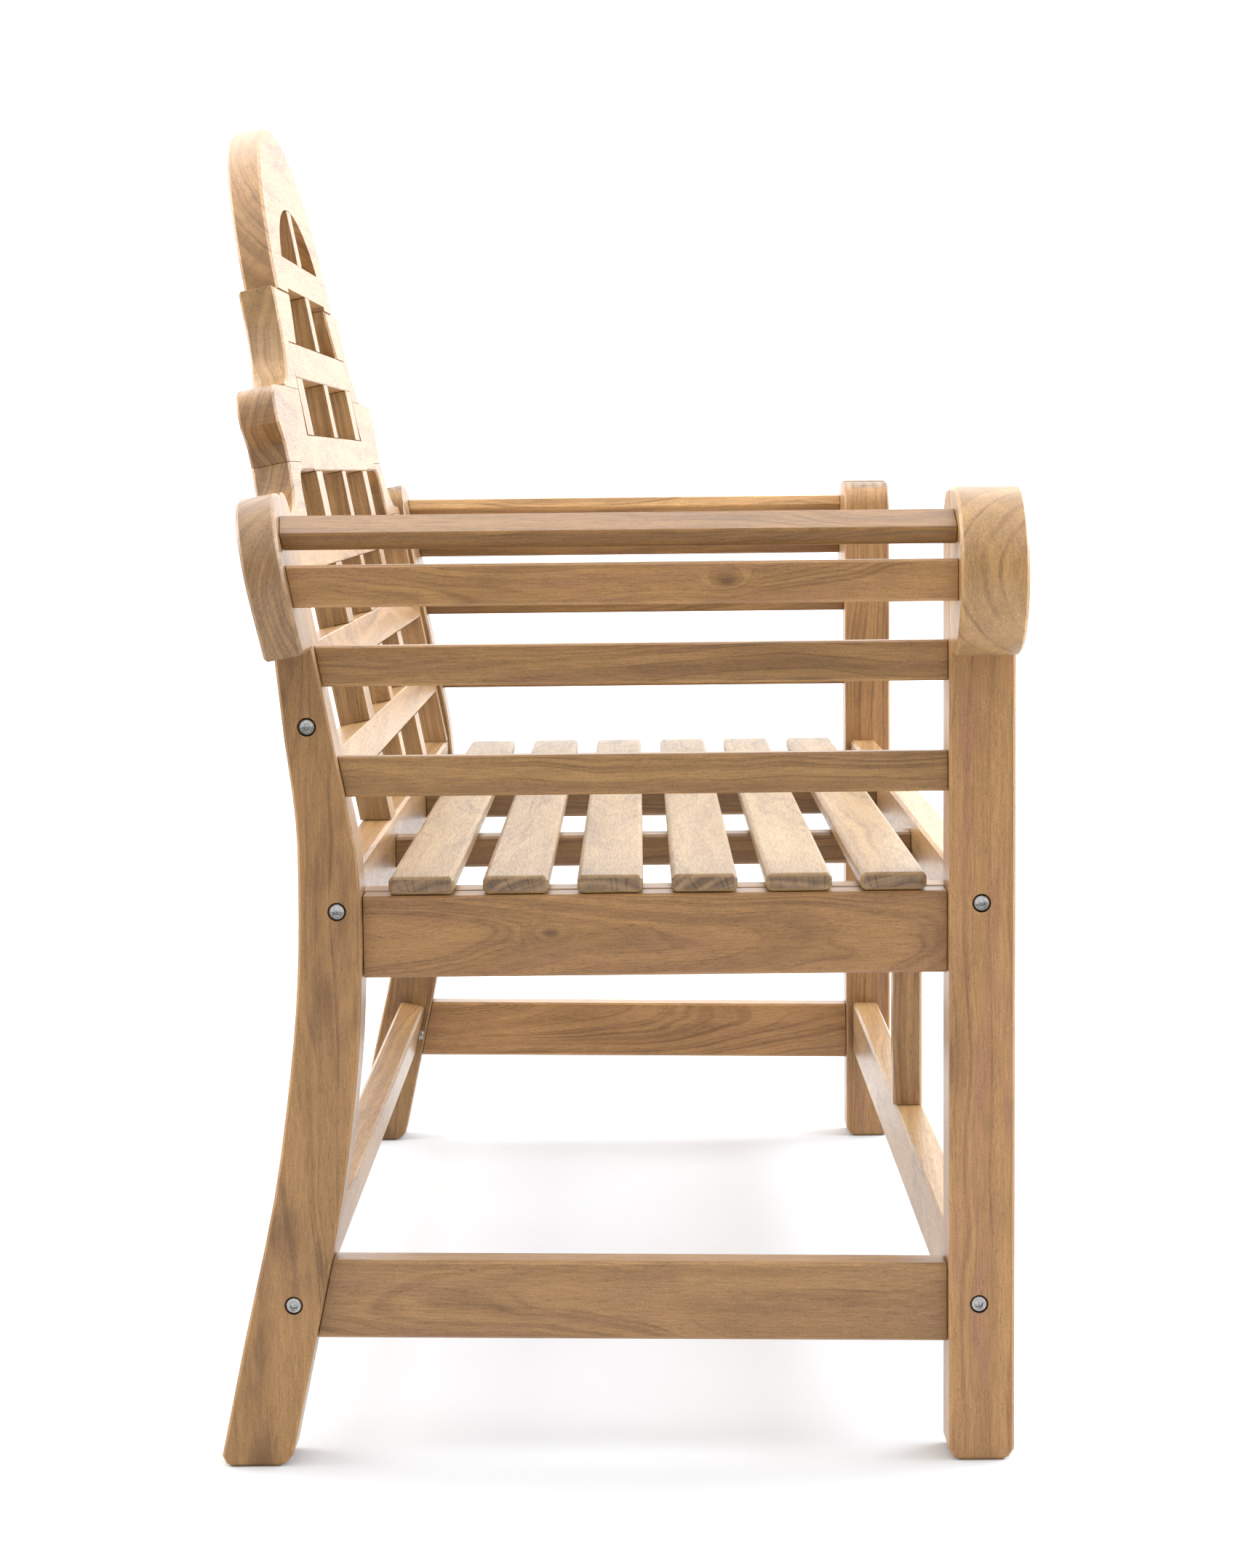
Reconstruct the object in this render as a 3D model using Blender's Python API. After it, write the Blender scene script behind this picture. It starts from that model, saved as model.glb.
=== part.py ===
"""Two-seat garden bench of solid wood with a lattice back, a domed crest and scrolled arms.

World frame: metres, +Z up, +X along the bench, the sitter faces -Y.
"left" pieces are on the -X end and "right" pieces on the +X end.
Every board, rail, slat and bolt is its own object.
"""
from math import asin, atan, atan2, copysign, cos, degrees, pi, radians, sin, sqrt, tan

import bmesh
import bpy
from mathutils import Matrix, Vector

# ---------------------------------------------------------------- driving sizes
GAP = 0.0003                    # air left between pieces that touch
OUTER_X = 0.578                 # outer faces of the legs, from the middle
LEG_X = 0.045                   # thickness of a leg along the bench
INNER_X = OUTER_X - LEG_X
CENTRE_Y = -0.0019              # shift that puts the origin under the middle of the bench
FRONT_Y = -0.315                # front faces of the front legs, before that shift
FRONT_LEG_Y = 0.049
LEG_TOP = 0.730                 # top of the arm scrolls
LEG_TOP_RADIUS = 0.029
LEG_TOP_STEPS = 7
FRONT_LEG_DROP = 0.0012         # the front leg ends this far below its scroll's top
REAR_LEG_RISE = 0.0010          # and the rear leg this far above
REAR_LEG_FALL = 0.0060          # fall of the rear leg's top, cut square to the raked leg
FOOT = 0.0085                   # the legs are square down to this height
FOOT_STEPS = (                  # then height, and how far the sides draw in along X and Y
    (0.0025, 0.0, 0.0040),
    (0.0, 0.0025, 0.0035),
)
LEG_EASE = 0.0020
EASE = 0.0025                   # softened edges of rails and slats
BOARD_EASE = 0.0020             # softened edges of the boards of the back
LATTICE_EASE = 0.0010           # softened edges inside the lattice

SCROLL_RADIUS = 0.061
REAR_SCROLL_RADIUS = 0.0585
REAR_SCROLL_TURN = -17.0        # where its round side runs out straight to a flat bottom, in degrees
REAR_SCROLL_Y = 0.0288          # its thickness
SCROLL_EASE = 0.0025
SCROLL_OFFSET = 0.021           # scroll centre, outboard of the leg's outer face
SCROLL_Z = LEG_TOP - SCROLL_RADIUS
SCROLL_STEPS = 24

STOCK = 0.027                   # thickness of the rails and bearers
RAIL_INSET = 0.012              # rails of the end frames sit inside the legs' outer faces
SEAT_RAIL_Z = (0.3700, 0.4315)
SIDE_TENON = 0.010
CHEEK = 0.0050                  # shoulder left round a rail's stub tenon
SQUARE = (0.0, 0.0)             # an end face square to its bar

ARM_SLAT = (0.014, 0.030)       # thickness and width
ARM_TENON = 0.010
ARM_CHEEK = 0.0025
ARM_SLAT_EASE = 0.0018
TOP_SLAT_TILT = radians(63.0)   # how far the top arm slat leans back from upright
ARM_SLATS = (                   # name, middle outboard of the leg's outer face, middle Z, tilt
    ("roll_top", 0.0429, 0.7022, TOP_SLAT_TILT),
    ("roll_side", 0.0580, 0.6645, 0.0),
    ("upper", -0.0150, 0.6030, 0.0),
    ("lower", -0.0150, 0.5212, 0.0),
)

STRETCHER_H = 0.060
SIDE_STRETCHER_Z = 0.1220
SIDE_STRETCHER_RISE = radians(0.85)
LONG_STRETCHER_H = 0.056
FRONT_STRETCHER = (-0.2870, 0.1235)     # middle Y and Z
REAR_STRETCHER = (0.2235, 0.1275)
REAR_STRETCHER_TILT = radians(12.0)

FRONT_RAIL_Y = -0.2855
FRONT_RAIL_Z = (0.3700, 0.4450)
REAR_RAIL_Y = 0.1865
REAR_RAIL_Z = (0.3700, 0.4500)
LONG_TENON = 0.010
MORTISE_ROOT = 0.004            # how far inside its bar's end a mortise cutter starts
OVERCUT = 0.010                 # how far other cutters run past the faces they open

BEARER_X = 0.188
BEARER_H = 0.027
BEARER_TENON = 0.008
SEAT_SLAT = (0.049, 0.014)      # width and thickness
SEAT_SLAT_EASE = 0.0030
SEAT_SLAT_COUNT = 6
SEAT_SLAT_REAR_Y = 0.1247
SEAT_SLAT_PITCH = 0.0702

# The lattice back lies in its own frame: x along the bench, s up the slope, w backward.
RAKE = radians(11.0)
BACK_ORIGIN = Vector((0.0, 0.1843, 0.5074))
LATTICE = 0.0262                # thickness of the lattice
LAP = LATTICE / 2
CREST_BOARD = 0.0290            # thickness of the boards round it, flush with it in front
SHOULDER_BOARD = 0.0300
EAR_BOARD = 0.0308
RAIL_LEVELS = {                 # lower and upper edges of the lattice rails, along s
    "2": (0.3237, 0.3540),
    "3": (0.2440, 0.2743),
    "4": (0.1655, 0.1965),
    "5": (0.0820, 0.1130),
    "6": (-0.0020, 0.0290),
}
CENTRE_SLAT = 0.0310
POST = 0.0450
POST_X = 0.2130
STILE = 0.0240
STILE_X = INNER_X - STILE
LATTICE_TENON = 0.009
TENON_SHARE = 0.7               # height of a lattice tenon, as a share of its rail

# Outlines of the boards round the lattice, all in (x, s).
CREST_TOP = 0.5580
CREST_BASE = 0.4000
CREST_HALF = 0.2240
CREST_FULLNESS = 2.1
CREST_SPRING = 0.3850
CREST_FOOT_X = 0.1500           # inner ends of the crest's two feet
CREST_OPENING = (0.1550, 0.0840, 0.4000)    # half width, rise and base of the inner arch
CREST_BAND = (0.4040, 0.4325)                # the flat strip across the foot of the dome
LEDGE_X = 0.2620
LEDGE_DROP = 0.0040             # height of the square step at the end of the ledge
SHOULDER_BASE = 0.3135
SHOULDER_FOOT_X = 0.3300
SHOULDER_SINK = 0.0020          # the sweep ends this far above the shoulder's base
SHOULDER_INNER_X = 0.1480
SHOULDER_HOLLOW = ((0.1620, 0.3745), (0.1525, 0.3900))
SHOULDER_TOE_X = 0.1775
SLIVER_X = 0.2368               # where the shoulder passes the end of the second rail
SLIVER_LEAN = 0.0012
EAR_TOP_X = 0.3980
EAR_FULLNESS = 2.5
EAR_TIP = (0.4330, 0.2825)
EAR_NECK = (0.4235, 0.2740)
EAR_WAIST = (0.4170, 0.2655)
EAR_BASE = 0.2515
EAR_INNER_X = 0.2478
EAR_STEP_X = 0.3350
LOWER_EAR_TOE = 0.2045
LOWER_EAR_HEEL_X = 0.3760
LOWER_EAR_FULLNESS = 2.6
CORNER_OPENING = (0.3450, 0.2160)   # centre of the rounded corner of the opening beside the post
CORNER_HALF = (0.0270, 0.0275)

BOLT_HEAD_R = 0.0063
BOLT_HEAD = 0.0034              # height of the head
BOLT_SIDES = 24
HEAD_ROUNDING = 0.0014
HEAD_CROWN_R = 0.0046
SOCKET_DEPTH = 0.0022
SOCKET_MOUTH_R = 0.0026
SOCKET_R = 0.0022
BORE_SPARE = 0.002              # room past the bolt's tip
BOLT_SHANK_R = 0.0030
BOLT_BORE_R = 0.0034
COUNTERBORE_R = 0.0070
COUNTERBORE = 0.0045
BOLT_REACH = 0.030              # how far a bolt runs past the leg's inner face
BOLTS = (                       # name, Y, Z, reach past the leg
    ("back", 0.2058, 0.5591, 0.018),
    ("rear_seat", 0.1865, 0.4217, BOLT_REACH),
    ("rear_stretcher", 0.2250, 0.1240, BOLT_REACH),
    ("front_seat", -0.2900, 0.4235, BOLT_REACH),
    ("front_stretcher", -0.2885, 0.1204, BOLT_REACH),
)

# The rear leg's two sawn edges: (height, Y), joined by smooth curves.
LEG_FRONT_EDGE = ((FOOT, 0.2281), (0.10, 0.2082), (0.205, 0.1866), (0.300, 0.1735), (0.370, 0.1692),
                  (0.432, 0.1690), (0.470, 0.1719), (0.530, 0.1833))
LEG_BACK_EDGE = ((FOOT, 0.2814), (0.10, 0.2617), (0.205, 0.2380), (0.300, 0.2238), (0.370, 0.2170),
                 (0.440, 0.2149), (0.490, 0.2158), (0.550, 0.2228), (0.610, 0.2288))
LEG_STEPS = 3                   # straight pieces between two of those points
LEG_SLOPE = tan(radians(10.8))  # rake of the rear leg's upper part
LEG_UPPER_Y = 0.0305            # its depth there


# ---------------------------------------------------------------- materials
def material(name, colour, roughness, metallic=0.0):
    """A Principled BSDF material."""
    made = bpy.data.materials.new(name)
    made.use_nodes = True
    shader = made.node_tree.nodes["Principled BSDF"]
    shader.inputs["Base Color"].default_value = (*colour, 1.0)
    shader.inputs["Roughness"].default_value = roughness
    shader.inputs["Metallic"].default_value = metallic
    made.diffuse_color = (*colour, 1.0)
    return made


# ---------------------------------------------------------------- building blocks
def finish(bm, name, look, parent=None, place=None):
    """Turn a bmesh into a named object with a material of its own."""
    bmesh.ops.recalc_face_normals(bm, faces=bm.faces)
    mesh = bpy.data.meshes.new(name)
    bm.to_mesh(mesh)
    bm.free()
    mesh.materials.append(material("mat_" + name, *look))
    piece = bpy.data.objects.new(name, mesh)
    bpy.context.scene.collection.objects.link(piece)
    piece.parent = parent
    if place is not None:
        piece.matrix_local = place
    return piece


def combine(piece, other, operation):
    """Join a hidden object to a piece, or cut it out."""
    other.hide_render = True
    other.display_type = "WIRE"
    boolean = piece.modifiers.new(operation.lower() + "_" + other.name, "BOOLEAN")
    boolean.operation = operation
    boolean.solver = "EXACT"
    boolean.object = other


def cut(piece, cutter):
    """Cut a hidden object out of a piece."""
    combine(piece, cutter, "DIFFERENCE")


def ease_edges(bm, edges, width):
    """Soften chosen edges with one flat."""
    bmesh.ops.bevel(bm, geom=list(edges), offset=width, segments=1, affect="EDGES")


def box(bm, low, high):
    """Add a box between two corners."""
    centre = (Vector(low) + Vector(high)) / 2
    size = Vector(high) - Vector(low)
    matrix = Matrix.Translation(centre) @ Matrix.Diagonal((*size, 1.0))
    bmesh.ops.create_cube(bm, size=1.0, matrix=matrix)


def placed(x, y, z, angle=0.0, axis="X"):
    """A location and one rotation, as a matrix."""
    return Matrix.Translation((x, y, z)) @ Matrix.Rotation(angle, 4, axis)


def add_tenon(bm, end, depth, half_wide, half_tall):
    """Replace a bar's end face by a shoulder and a square tenon standing out of it."""
    side = 1.0 if end.normal.y > 0 else -1.0
    rim = list(end.verts)
    y = rim[0].co.y
    bm.faces.remove(end)
    roots = {}
    tips = {}
    for x_side in (-1, 1):
        for z_side in (-1, 1):
            corner = (x_side * half_wide, z_side * half_tall)
            roots[x_side, z_side] = bm.verts.new((corner[0], y, corner[1]))
            tips[x_side, z_side] = bm.verts.new((corner[0], y + side * depth, corner[1]))
    corners = [(1 if v.co.x > 0 else -1, 1 if v.co.z > 0 else -1) for v in rim]
    ring = []
    for i, vert in enumerate(rim):
        here = corners[i]
        following = corners[(i + 1) % len(rim)]
        other = rim[(i + 1) % len(rim)]
        if here == following:
            bm.faces.new((vert, other, roots[here]))
        else:
            bm.faces.new((vert, other, roots[following], roots[here]))
            bm.faces.new((roots[here], roots[following], tips[following], tips[here]))
            ring.append(tips[here])
    bm.faces.new(ring)


def bar(name, look, length, wide, tall, place, ease=EASE, tenon=0.0, cheek=0.0,
        slopes=(SQUARE, SQUARE), free=False, parent=None):
    """A straight bar along its own Y, with wide along X and tall along Z.

    tenon is the length of the stub tenons and cheek how much thinner they are on each side;
    slopes lean the front and the rear end faces: Y gained for each metre of local X and of local Z.
    A free bar has its end edges softened too.
    """
    bm = bmesh.new()
    half = length / 2 - GAP
    box(bm, (-wide / 2, -half, -tall / 2), (wide / 2, half, tall / 2))
    long_edges = [e for e in bm.edges if abs((e.verts[0].co - e.verts[1].co).y) > half]
    ease_edges(bm, bm.edges if free else long_edges, ease)
    if tenon:
        for end in [f for f in bm.faces if abs(f.normal.y) > 0.9]:
            add_tenon(bm, end, tenon, wide / 2 - cheek, tall / 2 - cheek)
    for vert in bm.verts:
        if abs(vert.co.y) > half - 2 * ease:
            lean = slopes[1 if vert.co.y > 0 else 0]
            vert.co.y += lean[0] * vert.co.x + lean[1] * vert.co.z
    return finish(bm, name, look, parent, place)


def mortise(leg, name, place, length, wide, tall, tenon, cheek, side, lean=SQUARE, parent=None):
    """Cut the pocket that one of a bar's tenons enters: side is -1 for its front end, +1 for the rear."""
    bm = bmesh.new()
    root = side * (length / 2 - MORTISE_ROOT)
    tip = side * (length / 2 + tenon + GAP)
    half_wide = wide / 2 - cheek + GAP
    half_tall = tall / 2 - cheek + GAP
    box(bm, (-half_wide, min(root, tip), -half_tall), (half_wide, max(root, tip), half_tall))
    for vert in bm.verts:
        vert.co.y += lean[0] * vert.co.x + lean[1] * vert.co.z
    cut(leg, finish(bm, name, WOOD, parent, place))


def extruded(name, look, outline, depth, to_world, eased=(), ease=EASE, parent=None, place=None):
    """Extrude a closed outline. to_world turns (a, b, depth) into a local point.

    eased lists the outline's segments (by their first point's index) whose two long edges are softened.
    """
    bm = bmesh.new()
    near = [bm.verts.new(to_world(a, b, 0.0)) for a, b in outline]
    far = [bm.verts.new(to_world(a, b, depth)) for a, b in outline]
    bm.faces.new(near)
    bm.faces.new(list(reversed(far)))
    count = len(outline)
    for i in range(count):
        j = (i + 1) % count
        bm.faces.new((near[i], near[j], far[j], far[i]))
    bmesh.ops.recalc_face_normals(bm, faces=bm.faces)
    if eased:
        edges = []
        for i in eased:
            j = (i + 1) % count
            edges.append(bm.edges.get((near[i], near[j])))
            edges.append(bm.edges.get((far[i], far[j])))
        ease_edges(bm, edges, ease)
    return finish(bm, name, look, parent, place)


def mirrored(points, side):
    """An outline made for the +X end, for either end of the bench."""
    return [(side * x, height) for x, height in points]


def arc(centre, radius, start, stop, steps):
    """Points of a circular arc, angles in degrees."""
    points = []
    for i in range(steps + 1):
        angle = radians(start + (stop - start) * i / steps)
        points.append((centre[0] + radius * cos(angle), centre[1] + radius * sin(angle)))
    return points


def rounded_quarter(centre, half, fullness, start, stop, steps):
    """Points of a superellipse of the given half axes, angles in degrees; fullness 2 is an ellipse."""
    points = []
    for i in range(steps + 1):
        angle = radians(start + (stop - start) * i / steps)
        across = abs(cos(angle)) ** (2 / fullness) * (1 if cos(angle) >= 0 else -1)
        up = abs(sin(angle)) ** (2 / fullness) * (1 if sin(angle) >= 0 else -1)
        points.append((centre[0] + half[0] * across, centre[1] + half[1] * up))
    return points


def smooth_through(knots, per_span):
    """A smooth curve y(z) through (z, y) knots, by cubic pieces with matched slopes."""
    slopes = []
    for i in range(len(knots)):
        low = knots[max(i - 1, 0)]
        high = knots[min(i + 1, len(knots) - 1)]
        slopes.append((high[1] - low[1]) / (high[0] - low[0]))
    points = []
    for i in range(len(knots) - 1):
        (z0, y0), (z1, y1) = knots[i], knots[i + 1]
        span = z1 - z0
        for step in range(per_span):
            t = step / per_span
            y = ((2 * t ** 3 - 3 * t ** 2 + 1) * y0 + (t ** 3 - 2 * t ** 2 + t) * span * slopes[i]
                 + (3 * t ** 2 - 2 * t ** 3) * y1 + (t ** 3 - t ** 2) * span * slopes[i + 1])
            points.append((z0 + span * t, y))
    points.append(knots[-1])
    return points


def leg_front_y(z):
    """Y of the rear leg's front edge at a height."""
    if z >= LEG_FRONT_EDGE[-1][0]:
        return LEG_FRONT_EDGE[-1][1] + (z - LEG_FRONT_EDGE[-1][0]) * LEG_SLOPE
    curve = smooth_through(LEG_FRONT_EDGE, LEG_STEPS)
    for (z0, y0), (z1, y1) in zip(curve, curve[1:]):
        if z0 <= z <= z1:
            return y0 + (y1 - y0) * (z - z0) / (z1 - z0)
    raise ValueError("height below the foot")


WOOD = ((0.52, 0.36, 0.21), 0.55)
PALE_WOOD = ((0.62, 0.46, 0.29), 0.55)
STEEL = ((0.62, 0.62, 0.63), 0.30, 1.0)


# ---------------------------------------------------------------- end frames
def add_foot(leg, lean):
    """Draw the leg's square lower end in to its sole; lean is Y gained for each metre of height."""
    bm = bmesh.new()
    bm.from_mesh(leg.data)
    end = min(bm.faces, key=lambda face: face.calc_center_median().z)
    centre = end.calc_center_bounds()
    for height, inset_x, inset_y in FOOT_STEPS:
        end = bmesh.ops.extrude_discrete_faces(bm, faces=[end])["faces"][0]
        for vert in end.verts:
            vert.co.x -= copysign(inset_x, vert.co.x - centre.x)
            vert.co.y -= copysign(inset_y, vert.co.y - centre.y) + lean * (vert.co.z - height)
            vert.co.z = height
        centre = end.calc_center_bounds()
    bmesh.ops.recalc_face_normals(bm, faces=bm.faces)
    bm.to_mesh(leg.data)
    bm.free()


def front_leg(side, word, frame):
    """An upright leg with a rounded inner top corner."""
    outer = side * OUTER_X
    inner = side * INNER_X
    top = LEG_TOP - FRONT_LEG_DROP
    centre = (INNER_X + LEG_TOP_RADIUS, top - LEG_TOP_RADIUS)
    corner = arc(centre, LEG_TOP_RADIUS, 180, 90, LEG_TOP_STEPS)
    outline = [(outer, FOOT), (outer, top)]
    outline += [(side * x, z) for x, z in reversed(corner)]
    outline += [(inner, FOOT)]
    leg = extruded("front_leg_" + word, WOOD, outline, FRONT_LEG_Y, lambda a, b, d: (a, FRONT_Y + d, b),
                   eased=range(len(outline) - 1), ease=LEG_EASE, parent=frame)
    add_foot(leg, 0.0)
    return leg


def rear_leg(side, word, frame):
    """A leg sawn to a curve: it splays back to the foot and rakes back above the seat."""
    top = LEG_TOP + REAR_LEG_RISE
    back_top = top - REAR_LEG_FALL
    front = smooth_through(LEG_FRONT_EDGE, LEG_STEPS)
    back = smooth_through(LEG_BACK_EDGE, LEG_STEPS)
    outline = [(y, z) for z, y in front] + [(leg_front_y(top), top)]
    outline += [(leg_front_y(back_top) + LEG_UPPER_Y, back_top)] + [(y, z) for z, y in reversed(back)]
    x0 = side * INNER_X
    leg = extruded("rear_leg_" + word, WOOD, outline, LEG_X, lambda a, b, d: (x0 + side * d, a, b),
                   eased=range(len(outline) - 1), ease=LEG_EASE, parent=frame)
    (z0, y0), (z1, y1) = LEG_FRONT_EDGE[:2]
    add_foot(leg, (y1 - y0) / (z1 - z0))
    corner = (INNER_X + LEG_TOP_RADIUS, top - LEG_TOP_RADIUS)
    waste = arc(corner, LEG_TOP_RADIUS, 180, 90, LEG_TOP_STEPS)
    waste += [(corner[0], top + OVERCUT), (INNER_X - OVERCUT, top + OVERCUT),
              (INNER_X - OVERCUT, corner[1])]
    start = leg_front_y(corner[1]) - OVERCUT
    depth = LEG_UPPER_Y + 4 * OVERCUT
    cutter = extruded("waste_leg_top_" + word, WOOD, mirrored(waste, side), depth,
                      lambda a, b, d: (a, start + d, b), parent=frame)
    cut(leg, cutter)
    return leg


def scroll(name, side, place, radius, depth, frame, turn=None):
    """A round block on the leg's outer face: flat against the leg and flat on top up to it.

    With a turn angle the round side stops there, and a straight side drops to a flat bottom.
    """
    touch = OUTER_X + GAP
    centre = OUTER_X + SCROLL_OFFSET
    down = degrees(atan2(sqrt(radius ** 2 - (centre - touch) ** 2), centre - touch)) - 180.0
    if turn is not None:
        down = turn
    outline = [(touch, radius)] + arc((centre, 0.0), radius, 90.0, down, SCROLL_STEPS)
    if turn is not None:
        x, z = outline[-1]
        outline += [(x + (radius + z) * tan(radians(turn)), -radius), (touch, -radius)]
    return extruded(name, PALE_WOOD, mirrored(outline, side), depth, lambda a, b, d: (a, d, b),
                    eased=range(len(outline) - 1), ease=SCROLL_EASE, parent=frame, place=place)


def arm_slats(side, word, frame, posts, scrolls):
    """Four slats between the scrolls and the legs; the top one leans to follow the roll."""
    thick, wide = ARM_SLAT
    front = FRONT_Y + FRONT_LEG_Y
    for label, outboard, z, tilt in ARM_SLATS:
        rear = leg_front_y(z)
        length = rear - front
        turn = -side * tilt
        place = placed(side * (OUTER_X + outboard), (front + rear) / 2, z, turn, "Y")
        raked = (-LEG_SLOPE * sin(turn), LEG_SLOPE * cos(turn))
        name = "arm_slat_%s_%s" % (label, word)
        bar(name, PALE_WOOD, length, thick, wide, place, ease=ARM_SLAT_EASE, tenon=ARM_TENON,
            cheek=ARM_CHEEK, slopes=(SQUARE, raked), parent=frame)
        hosts = scrolls if outboard > 0 else posts
        for end, host, lean in zip((-1, 1), hosts, (SQUARE, raked)):
            mortise(host, "pocket_%s_%s" % (name, "rear" if end > 0 else "front"), place, length, thick,
                    wide, ARM_TENON, ARM_CHEEK, end, lean, frame)


def end_rail(name, z_mid, tall, rise, side, frame, posts):
    """A rail along Y between the legs of one end, on stub tenons."""
    front = FRONT_Y + FRONT_LEG_Y
    z_rear = z_mid + tan(rise) * (leg_front_y(z_mid) - front) / 2
    lean = (leg_front_y(z_rear + tall / 2) - leg_front_y(z_rear - tall / 2)) / tall
    offsets = [tall * (i / 12 - 0.5) for i in range(13)]
    rear = min(leg_front_y(z_rear + offset) - lean * offset for offset in offsets)
    length = (rear - front) / cos(rise)
    x = side * (OUTER_X - RAIL_INSET - STOCK / 2)
    place = placed(x, (front + rear) / 2, z_mid, rise)
    leans = ((0.0, tan(rise)), (0.0, tan(rise + atan(lean))))
    bar(name, WOOD, length, STOCK, tall, place, tenon=SIDE_TENON, cheek=CHEEK, slopes=leans, parent=frame)
    for end, host, slope in zip((-1, 1), posts, leans):
        mortise(host, "pocket_%s_%s" % (name, "rear" if end > 0 else "front"), place, length, STOCK, tall,
                SIDE_TENON, CHEEK, end, slope, frame)


# ---------------------------------------------------------------- long members and seat
def long_rail(name, y, z, tall, tilt, hosts, frame):
    """A rail along the bench between the two ends, on stub tenons."""
    length = 2 * INNER_X
    place = placed(0.0, y, z, tilt) @ Matrix.Rotation(-pi / 2, 4, "Z")
    rail = bar(name, WOOD, length, STOCK, tall, place, tenon=LONG_TENON, cheek=CHEEK, parent=frame)
    for side, host in zip((-1, 1), hosts):
        mortise(host, "pocket_" + name + host.name, place, length, STOCK, tall, LONG_TENON, CHEEK, side,
                parent=frame)
    return rail


def seat(frame, front_rail, rear_rail, front_stretcher):
    """Cross bearers housed in the seat rails, six slats over them and a middle strut below."""
    front = FRONT_RAIL_Y + STOCK / 2
    rear = REAR_RAIL_Y - STOCK / 2
    length = rear - front
    z = SEAT_RAIL_Z[1] - BEARER_H / 2
    for word, x in (("left", -BEARER_X), ("right", BEARER_X)):
        name = "seat_bearer_" + word
        place = placed(x, (front + rear) / 2, z)
        bar(name, WOOD, length, STOCK, BEARER_H, place, tenon=BEARER_TENON, cheek=CHEEK, parent=frame)
        for end, host in ((-1, front_rail), (1, rear_rail)):
            mortise(host, "pocket_" + name + host.name, place, length, STOCK, BEARER_H, BEARER_TENON,
                    CHEEK, end, parent=frame)
    wide, thick = SEAT_SLAT
    span = 2 * (OUTER_X - RAIL_INSET)
    for i in range(SEAT_SLAT_COUNT):
        y = SEAT_SLAT_REAR_Y - i * SEAT_SLAT_PITCH
        place = placed(0.0, y, SEAT_RAIL_Z[1] + GAP + thick / 2, -pi / 2, "Z")
        bar("seat_slat_%d" % (i + 1), PALE_WOOD, span, wide, thick, place, ease=SEAT_SLAT_EASE,
            free=True, parent=frame)
    low = FRONT_STRETCHER[1] + LONG_STRETCHER_H / 2
    high = FRONT_RAIL_Z[0]
    place = placed(0.0, FRONT_RAIL_Y, (low + high) / 2, pi / 2)
    bar("front_strut", WOOD, high - low, STOCK, STOCK, place, tenon=BEARER_TENON, cheek=CHEEK,
        parent=frame)
    for end, host in ((-1, front_stretcher), (1, front_rail)):
        mortise(host, "pocket_strut_" + host.name, place, high - low, STOCK, STOCK, BEARER_TENON,
                CHEEK, end, parent=frame)


# ---------------------------------------------------------------- lattice back
def board(name, outline, thick, eased, back, ease=BOARD_EASE):
    """A flat board of the back: an outline in (x, s), extruded through the board's thickness."""
    return extruded(name, PALE_WOOD, outline, thick, lambda a, b, d: (a, d, b), eased=eased, ease=ease,
                    parent=back)


def crest(back):
    """The domed plank, with a flat-bottomed arched opening."""
    dome = rounded_quarter((0.0, CREST_SPRING), (CREST_HALF, CREST_TOP - CREST_SPRING), CREST_FULLNESS,
                           5.0, 175.0, 34)
    base = CREST_BASE + GAP
    outline = [(CREST_FOOT_X, base), (dome[0][0], base)] + dome[1:-1]
    outline += [(dome[-1][0], base), (-CREST_FOOT_X, base)]
    outline += [(-CREST_FOOT_X, CREST_BAND[0]), (CREST_FOOT_X, CREST_BAND[0])]
    count = len(outline)
    eased = list(range(1, count - 4)) + [count - 2]
    plank = board("crest_board", outline, CREST_BOARD, eased, back, EASE)
    half, rise, spring = CREST_OPENING
    start = degrees(asin((CREST_BAND[1] - spring) / rise))
    opening = rounded_quarter((0.0, spring), (half, rise), 2.0, start, 180.0 - start, 18)
    cutter = extruded("waste_crest_opening", WOOD, opening, CREST_BOARD + 2 * OVERCUT,
                      lambda a, b, d: (a, d - OVERCUT, b), parent=back)
    cut(plank, cutter)
    bm = bmesh.new()
    reach = CENTRE_SLAT / 2 + GAP
    low, high = CREST_BAND
    box(bm, (-reach, LAP, low - OVERCUT), (reach, CREST_BOARD + OVERCUT, high + OVERCUT / 2))
    cut(plank, finish(bm, "waste_crest_lap", WOOD, back))


def shoulder(side, word, back):
    """The board under the dome: a ledge, then a hollow sweep out to the ear."""
    centre = (SHOULDER_FOOT_X, CREST_BASE - LEDGE_DROP)
    half = (SHOULDER_FOOT_X - LEDGE_X, centre[1] - SHOULDER_BASE - SHOULDER_SINK)
    sweep = rounded_quarter(centre, half, 2.0, 180.0, 262.0, 10)
    rail_base, rail_top = RAIL_LEVELS["2"]
    outline = [(SHOULDER_INNER_X, CREST_BASE), (LEDGE_X, CREST_BASE)] + sweep
    outline += [(sweep[-1][0] + SHOULDER_SINK / 2, SHOULDER_BASE),
                (SLIVER_X + SLIVER_LEAN, SHOULDER_BASE),
                (SLIVER_X, rail_base), (SLIVER_X, rail_top + GAP),
                (SHOULDER_TOE_X, rail_top + GAP), *SHOULDER_HOLLOW]
    last = 2 + len(sweep)
    eased = list(range(0, last)) + [last + 1, last + 4, last + 5, last + 6]
    board("shoulder_" + word, mirrored(outline, side), SHOULDER_BOARD, eased, back)


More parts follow.
